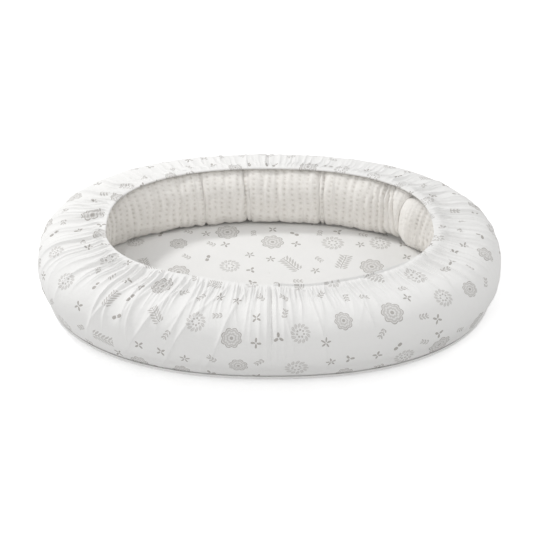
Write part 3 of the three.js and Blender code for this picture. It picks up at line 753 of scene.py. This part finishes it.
def base_panel():
    """The underside: a grid round the zip's hollow with a slit in it, joined by rings to the oval edge."""
    slit_x, slit_y = SLIT_HALF
    edge_x, edge_y = (half + RECESS_MARGIN for half in RECESS_HALF)
    xs = np.concatenate([
        np.linspace(-edge_x, -slit_x, 18), np.linspace(-slit_x, slit_x, 133)[1:-1],
        np.linspace(slit_x, edge_x, 18),
    ])
    ys = np.concatenate([np.linspace(-edge_y, -slit_y, 16), np.linspace(slit_y, edge_y, 16)])
    made = bmesh.new()
    grid = [[made.verts.new((x, y, recess_height(x, y))) for x in xs] for y in ys]
    for j in range(len(ys) - 1):
        for i in range(len(xs) - 1):
            in_slit = abs(ys[j] + ys[j + 1]) < 1e-9 and abs(xs[i] + xs[i + 1]) / 2 < slit_x
            if not in_slit:
                made.faces.new((grid[j][i], grid[j + 1][i], grid[j + 1][i + 1], grid[j][i + 1]))
    last_x, last_y = len(xs) - 1, len(ys) - 1
    loop = [grid[0][i] for i in range(last_x)] + [grid[j][last_x] for j in range(last_y)]
    loop += [grid[last_y][i] for i in range(last_x, 0, -1)] + [grid[j][0] for j in range(last_y, 0, -1)]
    corners = np.array([v.co for v in loop])
    shares = np.linspace(0, 1, 4001)
    around = placed(shares, PANEL_FLAT, 0.0)
    bearing = np.unwrap(bearings(around, RIM_PROPORTION))
    wanted = bearings(corners, HOLLOW_PROPORTION) % (2 * math.pi)
    share = np.interp(wanted, bearing, shares)
    rim = placed(share, PANEL_FLAT, 0.0)
    rings = [corners + (rim - corners) * t for t in np.linspace(0, 1, 24)[1:]]
    rings += [placed(share, u, z) for u, z in PANEL_RIM]
    last = loop
    for ring in rings:
        row = [made.verts.new(point) for point in ring]
        for i in range(len(row)):
            k = (i + 1) % len(row)
            made.faces.new((last[i], last[k], row[k], row[i]))
        last = row
    bmesh.ops.recalc_face_normals(made, faces=made.faces)
    mesh = bpy.data.meshes.new("base_panel_cloth")
    made.to_mesh(mesh)
    made.free()
    shade_smooth(mesh)
    piece = dressed("base_panel_cloth", mesh, "base_panel", "plain_cotton")
    thick = piece.modifiers.new("thickness", "SOLIDIFY")
    thick.thickness = PANEL_THICKNESS
    thick.offset = -1


def recess_height(x, y):
    rise = np.minimum(RECESS_HALF[0] - np.abs(x), RECESS_HALF[1] - np.abs(y)) / RECESS_SLOPE
    return RECESS_DEPTH * smooth(rise)


def zip_tape(place, side):
    """A woven tape with a raised cord along its inner edge."""
    half = ZIP_HALF + TAPE_PAST_TEETH
    xs = np.linspace(-half, half, 300)
    across = np.linspace(*TAPE_EDGES, 20)
    cord = RIB_HEIGHT * np.exp(-(((across - TAPE_CORD[0]) / TAPE_CORD[1]) ** 2))
    y, z = band_profile(across, TAPE_LEVEL - TAPE_HALF_THICKNESS, TAPE_LEVEL + TAPE_HALF_THICKNESS, cord)
    points = np.stack(np.broadcast_arrays(xs, side * y, z), axis=-1)
    uv = cloth_uv(xs, np.linspace(0, 0.031, len(y))[:, None])
    name = f"zip_tape_{place}_web"
    mesh = grid_mesh(name, points[::side], closed_across=True, uv=uv[::side])
    cap_ends(mesh)
    dressed(name, mesh, f"zip_tape_{place}", "zip_tape")


def wire_mesh(name, points, radius):
    """A mesh of a round wire that runs through the points."""
    curve = bpy.data.curves.new(name, "CURVE")
    curve.dimensions = "3D"
    curve.bevel_depth = radius
    curve.bevel_resolution = 1
    curve.use_fill_caps = True
    line = curve.splines.new("POLY")
    line.points.add(len(points) - 1)
    for point, place in zip(line.points, points):
        point.co = (*place, 1)
    line.use_smooth = True
    carrier = bpy.data.objects.new(name, curve)
    mesh = bpy.data.meshes.new_from_object(carrier)
    bpy.data.objects.remove(carrier)
    return mesh


def zip_teeth(place, side):
    """One half of the zip: a plastic wire coiled along the tape's edge."""
    turns = int(2 * ZIP_HALF / COIL_PITCH)
    t = np.arange(turns * 10 + 1) / 10
    phase = 2 * math.pi * t
    x = -ZIP_HALF + COIL_PITCH * t + 0.25 * COIL_PITCH * side + COIL_START
    y = COIL_MIDDLE + COIL_HALF_WIDTH * np.cos(phase)
    z = TAPE_LEVEL + COIL_HALF_HEIGHT * np.sin(phase)
    name = f"zip_teeth_{place}_coil"
    mesh = wire_mesh(name, np.stack([x, side * y, z], axis=-1), COIL_WIRE)
    dressed(name, mesh, f"zip_teeth_{place}", "zip_plastic")


def rounded(node, width, body="nest"):
    """A copy of a hard piece with rounded edges."""
    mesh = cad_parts[node].data.copy()
    mesh.materials.clear()
    made = bmesh.new()
    made.from_mesh(mesh)
    bmesh.ops.remove_doubles(made, verts=made.verts, dist=1e-6)
    bmesh.ops.dissolve_limit(made, angle_limit=math.radians(1), verts=made.verts, edges=made.edges)
    sharp = [e for e in made.edges if len(e.link_faces) == 2 and e.calc_face_angle() > math.radians(35)]
    bmesh.ops.bevel(
        made, geom=sharp, offset=width, segments=2, profile=0.6, affect="EDGES", clamp_overlap=True,
    )
    made.to_mesh(mesh)
    made.free()
    shade_smooth(mesh)
    mesh.set_sharp_from_angle(angle=math.radians(40))
    dressed(f"{node}_metal", mesh, node, "zip_metal", body=body)


# Materials
class Field:
    """A number at each point of a surface. Sums with it become shader nodes."""

    def __init__(self, tree, socket):
        self.tree = tree
        self.socket = socket

    def math(self, operation, *others):
        inputs = dict(enumerate((self, *others)))
        return Field(self.tree, add_node(self.tree, "Math", inputs, operation=operation)[0])

    __add__ = partialmethod(math, "ADD")
    __sub__ = partialmethod(math, "SUBTRACT")
    __mul__ = partialmethod(math, "MULTIPLY")
    __truediv__ = partialmethod(math, "DIVIDE")
    __pow__ = partialmethod(math, "POWER")
    __abs__ = partialmethod(math, "ABSOLUTE")
    __lt__ = partialmethod(math, "LESS_THAN")
    __gt__ = partialmethod(math, "GREATER_THAN")
    __or__ = partialmethod(math, "MAXIMUM")
    __and__ = partialmethod(math, "MULTIPLY")
    times_plus = partialmethod(math, "MULTIPLY_ADD")


def add_node(tree, kind, inputs=None, **settings):
    """Adds a shader node and gives its outputs. Each of its inputs is a value, a socket or a Field."""
    node = tree.nodes.new("ShaderNode" + kind)
    for name, value in settings.items():
        setattr(node, name, value)
    for place, value in (inputs or {}).items():
        source = value.socket if isinstance(value, Field) else value
        if isinstance(source, bpy.types.NodeSocket):
            tree.links.new(source, node.inputs[place])
        else:
            node.inputs[place].default_value = source
    return node.outputs


class Surface:
    """A new material: its node tree, its shader and the places on it, in metres."""

    def __init__(self, name, roughness, specular=0.3, sheen=0.0, coords="UV"):
        MATERIALS[name] = bpy.data.materials.new(name)
        MATERIALS[name].use_nodes = True
        self.tree = MATERIALS[name].node_tree
        self.shader = self.tree.nodes["Principled BSDF"]
        self.shader.inputs["Roughness"].default_value = roughness
        self.shader.inputs["Specular IOR Level"].default_value = specular
        self.shader.inputs["Sheen Weight"].default_value = sheen
        self.place = add_node(self.tree, "TexCoord")[coords]

    def vector(self, operation, *values, **named):
        inputs = {**dict(enumerate(values)), **named}
        outputs = add_node(self.tree, "VectorMath", inputs, operation=operation)
        return outputs["Value" if operation == "LENGTH" else "Vector"]

    def parts(self, vector):
        return [Field(self.tree, socket) for socket in add_node(self.tree, "SeparateXYZ", {0: vector})]

    def noise(self, cell, detail=2.0, stretch=(1, 1, 1)):
        """Smooth noise from 0 to 1, with one bump to about each cell."""
        stretched = self.vector("MULTIPLY", self.place, stretch)
        return add_node(self.tree, "TexNoise", {"Vector": stretched, "Scale": 1 / cell, "Detail": detail})

    def mottle(self, *grain):
        return Field(self.tree, self.noise(*grain)["Fac"])

    def lines(self, across, pitch):
        """Waves from -1 to 1, one to each pitch."""
        return (across * (2 * math.pi / pitch)).math("SINE")

    def mixed(self, factor, first, second):
        """A colour between two others. Each is a colour or the result of another mix."""
        first, second = ((*end, 1) if isinstance(end, tuple) else end for end in (first, second))
        return add_node(self.tree, "Mix", {0: factor, 6: first, 7: second}, data_type="RGBA")[2]

    def finish(self, color, *bumps, roughness=None):
        """Sets a mixed colour and adds bumps. Each bump is a Field and its height in metres."""
        links = {}
        for field, height in bumps:
            bump = add_node(self.tree, "Bump", {"Distance": height, "Height": field, **links})
            links = {"Normal": bump["Normal"]}
        links["Base Color"] = color
        if roughness is not None:
            links["Roughness"] = roughness.socket
        for name, socket in links.items():
            self.tree.links.new(socket, self.shader.inputs[name])


# The print: large motifs on a loose grid, with small sprigs between them
PRINT_INK = (0.375, 0.352, 0.328)
LARGE_CELL = 0.098
LARGE_LOOSENESS = 0.5
LARGE_RADIUS = 0.0245
SMALL_CELL = 0.044
SMALL_LOOSENESS = 0.45
SMALL_RADIUS = 0.0105
PRINT_GAP = 0.004
LINE_WOBBLE = 0.0016
FLOWERS_UP_TO = 0.4  # of the numbers from 0 to 1 that choose a large motif
RINGS_UP_TO = 0.72
SPRIGS_UP_TO = 0.55


def scattered(surface, place, cell, looseness):
    """The nearest point of a loose grid and random numbers that belong to it."""
    inputs = {"Vector": place, "Scale": 1 / cell, "Randomness": looseness}
    nearest = add_node(surface.tree, "TexVoronoi", inputs, voronoi_dimensions="2D")
    return nearest, surface.parts(nearest["Color"])


def motif_coordinates(surface, place, middle, turn, radius):
    """x, y, the distance and the bearing from the middle of a motif, whose radius is 1."""
    inputs = {"Vector": surface.vector("SUBTRACT", place, middle), "Angle": turn * (2 * math.pi)}
    turned = add_node(surface.tree, "VectorRotate", inputs, rotation_type="Z_AXIS")[0]
    local = surface.vector("SCALE", turned, Scale=radius ** -1.0)
    x, y, _ = surface.parts(local)
    return x, y, Field(surface.tree, surface.vector("LENGTH", local)), y.math("ARCTAN2", x)


def medallion(r, bearing):
    """A round flower with a scalloped edge, rings and petal lines."""
    depth = r / abs((bearing * 4.0).math("COSINE")).times_plus(0.17, 0.79)
    inside = depth < 1.0
    outline = inside & (depth > 0.91)
    rings = (depth * 19.0).math("SINE") > 0.15
    spokes = (abs((bearing * 8.0).math("COSINE")) < 0.22) & (depth > 0.36)
    heart = r < 0.16
    return outline | (inside & (rings | spokes).times_plus(0.45, 0.22)) | heart


def wreath(r, bearing):
    """A ring of slanting leaves round a ring of berries."""
    sector = abs((bearing * (13 / (2 * math.pi)) + r * 1.1).math("FRACT") - 0.5)
    along = (r - 0.74) / 0.26
    leaf = sector < (along * along).times_plus(-0.40, 0.40)
    vein = (sector < 0.06) & leaf
    step = 7 / (2 * math.pi)
    across = ((bearing * step).math("FRACT") - 0.5) / step * r
    berry = (across * across + (r - 0.34) * (r - 0.34)).math("SQRT") < 0.10
    return leaf * 0.62 - vein * 0.4 | berry * 0.8


def bough(x, y, leaves):
    """A stem with pairs of leaves that lean forwards."""
    off = abs(y + (x * 2.3).math("SINE") * 0.08)
    pitch = 1.9 / leaves
    slot = abs(((x - off * 0.8) / pitch).math("FRACT") - 0.5)
    reach = (off - 0.30) / 0.27
    leaf = (slot < (reach * reach).times_plus(-0.36, 0.36)) & (abs(x) < 0.93)
    stem = (off < 0.035) & (abs(x) < 0.95)
    return stem | leaf * 0.72


def sprig(r, bearing, petals):
    """Two to five narrow leaves round a point."""
    width = abs((bearing * petals * 0.5).math("COSINE")) ** 2.2
    return (width > r * 1.05) & (r > 0.14)


def print_mask(surface):
    """How much ink lies at each point, from 0 to 1."""
    wobble = surface.vector("SUBTRACT", surface.noise(0.006, 1.0)["Color"], (0.5, 0.5, 0.5))
    place = surface.vector("ADD", surface.place, surface.vector("SCALE", wobble, Scale=LINE_WOBBLE))
    large, (kind, turn, size) = scattered(surface, place, LARGE_CELL, LARGE_LOOSENESS)
    radius = size.times_plus(0.35 * LARGE_RADIUS, 0.70 * LARGE_RADIUS)
    x, y, r, bearing = motif_coordinates(surface, place, large["Position"], turn, radius)
    flower = medallion(r, bearing) & (kind < FLOWERS_UP_TO)
    ring = wreath(r, bearing) & (kind > FLOWERS_UP_TO) & (kind < RINGS_UP_TO)
    branch = bough(x, y, 6) & (kind > RINGS_UP_TO)
    ink = flower | ring | branch

    small, (kind, turn, size) = scattered(surface, place, SMALL_CELL, SMALL_LOOSENESS)
    near, _ = scattered(surface, small["Position"], LARGE_CELL, LARGE_LOOSENESS)
    to_large = Field(surface.tree, near["Distance"]) * LARGE_CELL
    x, y, r, bearing = motif_coordinates(surface, place, small["Position"], turn, SMALL_RADIUS)
    petals = (size * 3.99).math("FLOOR") + 2.0
    figure = (sprig(r, bearing, petals) & (kind < SPRIGS_UP_TO)) | (bough(x, y, 3) & (kind > SPRIGS_UP_TO))
    return ink * 0.8 | (figure & (to_large > LARGE_RADIUS + SMALL_RADIUS + PRINT_GAP)) * 0.85


COTTON_PITCH = 0.0009
COTTON_WHITE = (0.885, 0.88, 0.868)
COTTON_NATURAL = (0.85, 0.84, 0.82)
COTTON_SHADE = 0.94
SEERSUCKER_PITCH = 0.0011
# Seersucker colours: the painted shade of the puckers' hollows, then the pale cloth of the ribs
SEERSUCKER_SHADE_AND_RIB_COLORS = ((0.635, 0.60, 0.55), (0.965, 0.942, 0.905))
FIBRE_COLORS = ((0.80, 0.80, 0.78), (0.93, 0.93, 0.92))
WADDING_COLORS = ((0.78, 0.75, 0.68), (0.90, 0.88, 0.82))
ELASTIC_COLORS = ((0.76, 0.76, 0.75), (0.90, 0.90, 0.89))
ELASTIC_YARN_PITCH = 0.0011
TAPE_COLORS = ((0.72, 0.71, 0.69), (0.85, 0.84, 0.82))
TAPE_RIB_PITCH = 0.0009
PLASTIC_COLORS = ((0.84, 0.84, 0.83), (0.91, 0.91, 0.90))
METAL_COLORS = ((0.74, 0.74, 0.73), (0.84, 0.84, 0.83))


def weave(surface, pitch):
    """A plain weave: threads that pass over and under each other."""
    x, y, _ = surface.parts(surface.place)
    return surface.lines(x, pitch) * surface.lines(y, pitch)


def cotton_material(name, light, printed=False, coords="UV"):
    surface = Surface(name, 0.88, specular=0.2, sheen=0.12, coords=coords)
    threads = weave(surface, COTTON_PITCH)
    slub = surface.mottle(0.004, 1.0, (1, 6, 1))
    tone = surface.mottle(0.05) * 0.5 + slub * 0.4 + threads * 0.06
    color = surface.mixed(tone, tuple(c * COTTON_SHADE for c in light), light)
    if printed:
        color = surface.mixed(print_mask(surface) * slub.times_plus(0.5, 0.70), color, PRINT_INK)
    surface.finish(color, (threads, 0.00004), (surface.mottle(0.016), 0.0012))


def seersucker_material():
    """Puckered cloth: pale ribs, painted shade in the hollows and a fine crinkle."""
    surface = Surface("seersucker", 0.9, specular=0.2, sheen=0.15)
    pucker_painted_shade = Field(surface.tree, add_node(surface.tree, "Attribute", attribute_name="pucker_painted_shade")["Fac"])
    crinkle = surface.mottle(0.0035, 2.0, (1, 1.6, 1))
    threads = weave(surface, SEERSUCKER_PITCH)
    # The attribute paints shade into the puckers' hollows; the crinkle and the weave vary the tone.
    color = surface.mixed(pucker_painted_shade * 0.80 + crinkle * 0.40 + threads * 0.05, *SEERSUCKER_SHADE_AND_RIB_COLORS)
    surface.finish(color, (threads, 0.00005), (crinkle, 0.0011))


def elastic_material():
    """Knitted rubber cords along the band, with the yarn that crosses them."""
    surface = Surface("elastic", 0.8, specular=0.25, sheen=0.05)
    along, across, _ = surface.parts(surface.place)
    cords = surface.lines(across, ELASTIC_RIB_PITCH)
    yarn = surface.lines(along, ELASTIC_YARN_PITCH)
    color = surface.mixed(cords.times_plus(0.25, 0.5) + yarn * 0.15, *ELASTIC_COLORS)
    surface.finish(color, (yarn, 0.0001), (cords, 0.0002))


def tape_material():
    """Twill tape: fine slanting ribs that turn back at every third rib."""
    surface = Surface("zip_tape", 0.75, specular=0.3, sheen=0.05)
    along, across, _ = surface.parts(surface.place)
    zigzag = along + (across / 0.003).math("PINGPONG", 1.0) * 0.0015
    ribs = surface.lines(zigzag, TAPE_RIB_PITCH)
    color = surface.mixed(ribs.times_plus(0.2, 0.4) + surface.mottle(0.002, 1.0) * 0.3, *TAPE_COLORS)
    surface.finish(color, (ribs, 0.00012))


def mottled_material(name, roughness, specular, sheen, colors, grains, weights, bumps):
    """A surface of two grains, each with a cell, detail and stretch, a weight in the colour and a bump."""
    surface = Surface(name, roughness, specular, sheen, coords="Object")
    first, second = (surface.mottle(*grain) for grain in grains)
    color = surface.mixed(first * weights[0] + second * weights[1], *colors)
    surface.finish(color, (first, bumps[0]), (second, bumps[1]))


def plastic_material():
    surface = Surface("zip_plastic", 0.35, specular=0.5, coords="Object")
    grain = surface.mottle(0.0008)
    color = surface.mixed(grain, *PLASTIC_COLORS)
    surface.finish(color, (grain, 0.00002), roughness=grain.times_plus(0.2, 0.25))


def metal_material():
    """White lacquer on a zinc casting, a little uneven."""
    surface = Surface("zip_metal", 0.3, specular=0.5, coords="Object")
    surface.shader.inputs["Coat Weight"].default_value = 0.4
    surface.shader.inputs["Coat Roughness"].default_value = 0.12
    cast = surface.mottle(0.003, 3.0)
    scuffs = surface.mottle(0.0006, 2.0, (1, 8, 1))
    color = surface.mixed(cast * 0.6 + scuffs * 0.4, *METAL_COLORS)
    surface.finish(color, (cast, 0.00012), roughness=scuffs.times_plus(0.25, 0.18))


# Camera
CAMERA_DISTANCE = 3.0
CAMERA_AZIMUTH = math.radians(-0.91)
CAMERA_ELEVATION = math.radians(37.0)
CAMERA_ROLL = math.radians(0.6)
CAMERA_LENS = 104.7
AIM = (-0.0058, -0.0272, 0.080)


def camera():
    data = bpy.data.cameras.new("camera")
    data.sensor_width = 36
    data.lens = CAMERA_LENS
    made = linked("camera", data)
    a, e = CAMERA_AZIMUTH, CAMERA_ELEVATION
    back = Vector((math.sin(a) * math.cos(e), -math.cos(a) * math.cos(e), math.sin(e)))
    right = (-back).cross(Vector((0, 0, 1))).normalized()
    up = right.cross(-back)
    aim = Vector((0, 0, AIM[2])) + right * AIM[0] + up * AIM[1]
    side = right * math.cos(CAMERA_ROLL) + up * math.sin(CAMERA_ROLL)
    top = up * math.cos(CAMERA_ROLL) - right * math.sin(CAMERA_ROLL)
    turn = Matrix((side, top, back)).transposed().to_4x4()
    made.matrix_world = Matrix.Translation(aim + back * CAMERA_DISTANCE) @ turn
    bpy.context.scene.camera = made


# Studio
WHITE = (1, 1, 1, 1)
FLOOR_GREY = (0.8, 0.8, 0.8, 1)
SURROUNDING_LIGHT = 0.69
FLOOR_GLOW = 0.45  # only the camera sees it
FLOOR_HALF = 6
FLOOR_DROP = 0.0004  # so that it doesn't touch the underside
LAMPS = (  # name, place, aim, size and power
    ("key", (-1.6, 0.95, 2.0), (0, 0, 0.05), 0.4, 25),
    ("side", (1.7, 0.4, 1.5), (0.2, 0, 0.08), 1.0, 4),
    ("fill", (-0.9, -2.2, 1.9), (0, 0.1, 0.08), 1.6, 8),
)


def area_light(name, place, aim, size, power):
    data = bpy.data.lights.new(name, "AREA")
    data.shape = "DISK"
    data.size = size
    data.energy = power
    made = linked(name, data)
    made.location = place
    made.rotation_mode = "QUATERNION"
    made.rotation_quaternion = (Vector(aim) - Vector(place)).to_track_quat("-Z", "Y")


def surroundings():
    """A white world that the camera and mirrors see in full and that lights the scene less."""
    world = bpy.data.worlds.new("studio")
    world.use_nodes = True
    bpy.context.scene.world = world
    tree = world.node_tree
    tree.nodes.clear()
    rays = add_node(tree, "LightPath")
    seen = add_node(tree, "Math", {0: rays["Is Camera Ray"], 1: rays["Is Glossy Ray"]}, operation="MAXIMUM")
    soft = add_node(tree, "Background", {"Color": WHITE, "Strength": SURROUNDING_LIGHT})
    full = add_node(tree, "Background", {"Color": WHITE, "Strength": 1.0})
    mixed = add_node(tree, "MixShader", {0: seen[0], 1: soft[0], 2: full[0]})
    add_node(tree, "OutputWorld", {"Surface": mixed[0]})


def floor_material():
    made = bpy.data.materials.new("floor")
    made.use_nodes = True
    tree = made.node_tree
    tree.nodes.clear()
    rays = add_node(tree, "LightPath")
    diffuse = add_node(tree, "BsdfDiffuse", {"Color": FLOOR_GREY})
    none = add_node(tree, "Emission", {"Strength": 0})
    glow = add_node(tree, "Emission", {"Strength": FLOOR_GLOW})
    mixed = add_node(tree, "MixShader", {0: rays["Is Camera Ray"], 1: none[0], 2: glow[0]})
    both = add_node(tree, "AddShader", {0: diffuse[0], 1: mixed[0]})
    add_node(tree, "OutputMaterial", {"Surface": both[0]})
    return made


def studio():
    bpy.context.scene.view_settings.view_transform = "Standard"
    surroundings()
    for lamp in LAMPS:
        area_light(*lamp)
    corners = [[(x, y, 0.0) for x in (-FLOOR_HALF, FLOOR_HALF)] for y in (-FLOOR_HALF, FLOOR_HALF)]
    floor = linked("floor", grid_mesh("floor", np.array(corners)))
    floor.location.z = -FLOOR_DROP
    floor.data.materials.append(floor_material())


camera()
studio()
cotton_material("printed_cotton", COTTON_WHITE, printed=True)
cotton_material("binding_cotton", COTTON_WHITE)
cotton_material("plain_cotton", COTTON_NATURAL, coords="Object")
seersucker_material()
mottled_material(
    "fibre", 0.95, 0.1, 0.3, FIBRE_COLORS,
    grains=((0.0015, 2.0, (1, 1, 4)), (0.012, 4.0)), weights=(0.4, 0.6), bumps=(0.0006, 0.004),
)
mottled_material(
    "wadding", 0.95, 0.1, 0.2, WADDING_COLORS,
    grains=((0.003, 4.0, (1, 1, 5)), (0.03, 2.0)), weights=(0.6, 0.3), bumps=(0.0007, 0.0012),
)
elastic_material()
tape_material()
plastic_material()
metal_material()
wall_half("cover_right_cloth", "cover_wall_right", FRONT_SEAM, 300, PULLED_RIGHT)
wall_half("cover_left_cloth", "cover_wall_left", FRONT_SEAM - 0.5, 400, PULLED_LEFT)
bolster()
filling()
floor_panel()
mattress_core()
edge_binding()
hem_elastic()
base_panel()
for place, side in (("front", -1), ("rear", 1)):
    zip_tape(place, side)
    zip_teeth(place, side)
    rounded(f"zip_top_stop_{place}", 0.0003)
rounded("zip_bottom_stop", 0.0003)
rounded("zip_slider", 0.00018, "slider")
rounded("zip_pull", 0.00025, "pull")
